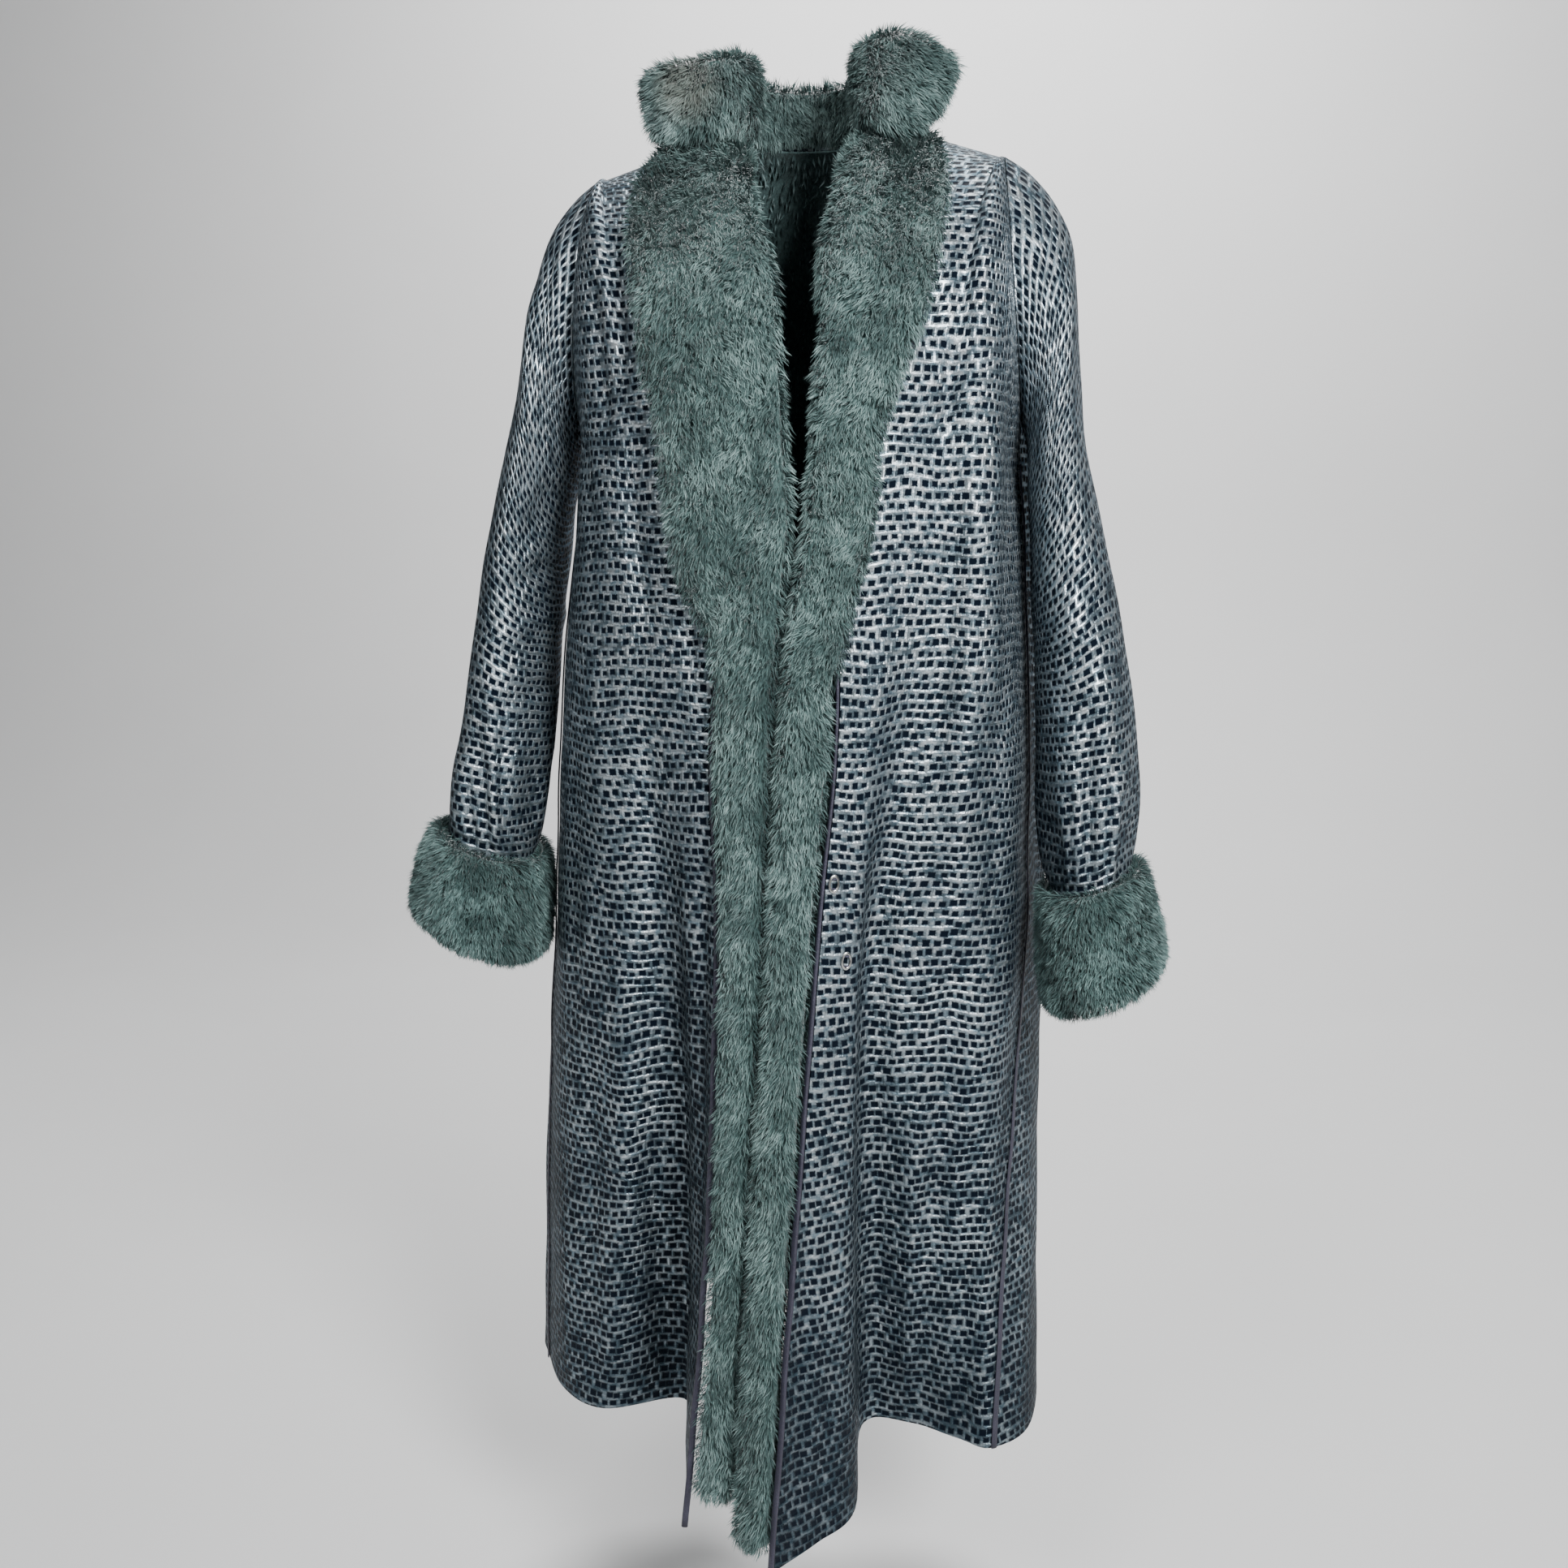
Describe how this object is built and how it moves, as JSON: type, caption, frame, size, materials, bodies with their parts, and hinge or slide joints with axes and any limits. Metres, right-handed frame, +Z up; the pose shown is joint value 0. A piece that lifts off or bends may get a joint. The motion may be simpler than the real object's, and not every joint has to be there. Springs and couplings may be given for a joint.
{
  "type": "overcoat",
  "caption": "Long A-line overcoat, worn shape and empty: patterned metallic cloth with fur collar wings, fur fronts and turned-back fur cuffs.",
  "frame": {"origin": "middle of the neck opening at the height of the shoulder seams, where the coat hangs from the wearer's shoulders", "axes": "+Z up along the coat's length; the front faces -Y; +X is the wearer's left"},
  "size_m": [0.7122, 0.4546, 1.3123],
  "materials": {
    "cloth": "satin metallic cloth with small dark squares",
    "fur": "dense teal-grey fur",
    "lining_fur": "short teal-grey fur lining",
    "leather": "satin dark leather",
    "steel": "bright steel"
  },
  "bodies": {
    "root": {"back": "cloth", "binding_left": "leather", "binding_right": "leather", "collar": "fur", "cuff_left": "fur", "cuff_right": "fur", "front_left": "cloth", "front_right": "cloth", "fur_front_left": "fur", "fur_front_right": "fur", "hook_lower": "steel", "hook_upper": "steel", "lining_back": "lining_fur", "lining_front_left": "lining_fur", "lining_front_right": "lining_fur", "sleeve_left": "cloth", "sleeve_right": "cloth", "welt_left": "leather", "welt_right": "leather"}
  },
  "joints": []
}
